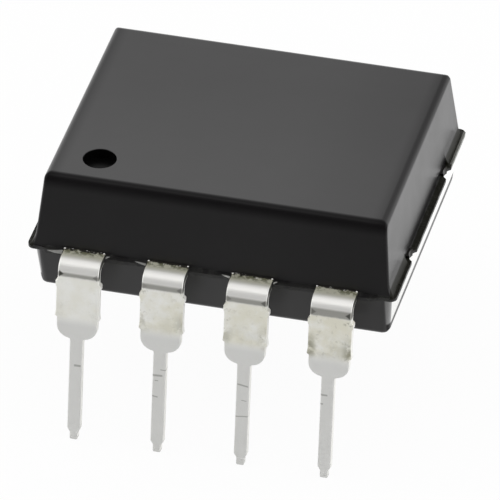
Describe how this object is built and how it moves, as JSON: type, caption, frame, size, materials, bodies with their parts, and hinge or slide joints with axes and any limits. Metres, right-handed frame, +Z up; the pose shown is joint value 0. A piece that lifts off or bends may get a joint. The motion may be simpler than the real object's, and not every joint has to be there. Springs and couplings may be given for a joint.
{
  "type": "dual in-line integrated circuit",
  "caption": "Wide-body dual in-line integrated circuit: black drafted resin body with a round index dimple, a thin parting ledge and rows of bent, splayed tin-plated leads.",
  "frame": {"origin": "centre of the bounding box at the height of the lead tips", "axes": "+X along the rows of leads, +Y across the rows, away from leads 1 to 4, +Z up, out of the face with the index dimple"},
  "size_m": [0.0112, 0.012, 0.0081],
  "materials": {
    "resin": "satin",
    "tin_plate": "satin",
    "copper_alloy": "satin",
    "silver_epoxy": "matte",
    "silicon": "gloss",
    "gold_wire": "gloss"
  },
  "bodies": {
    "root": {"body": "resin", "die_paddle": "copper_alloy", "die_attach": "silver_epoxy", "silicon_die": "silicon", "lead_1": "tin_plate", "lead_2": "tin_plate", "lead_3": "tin_plate", "lead_4": "tin_plate", "lead_5": "tin_plate", "lead_6": "tin_plate", "lead_7": "tin_plate", "lead_8": "tin_plate", "bond_wire_1": "gold_wire", "bond_wire_2": "gold_wire", "bond_wire_3": "gold_wire", "bond_wire_4": "gold_wire", "bond_wire_5": "gold_wire", "bond_wire_6": "gold_wire", "bond_wire_7": "gold_wire", "bond_wire_8": "gold_wire"}
  },
  "joints": []
}
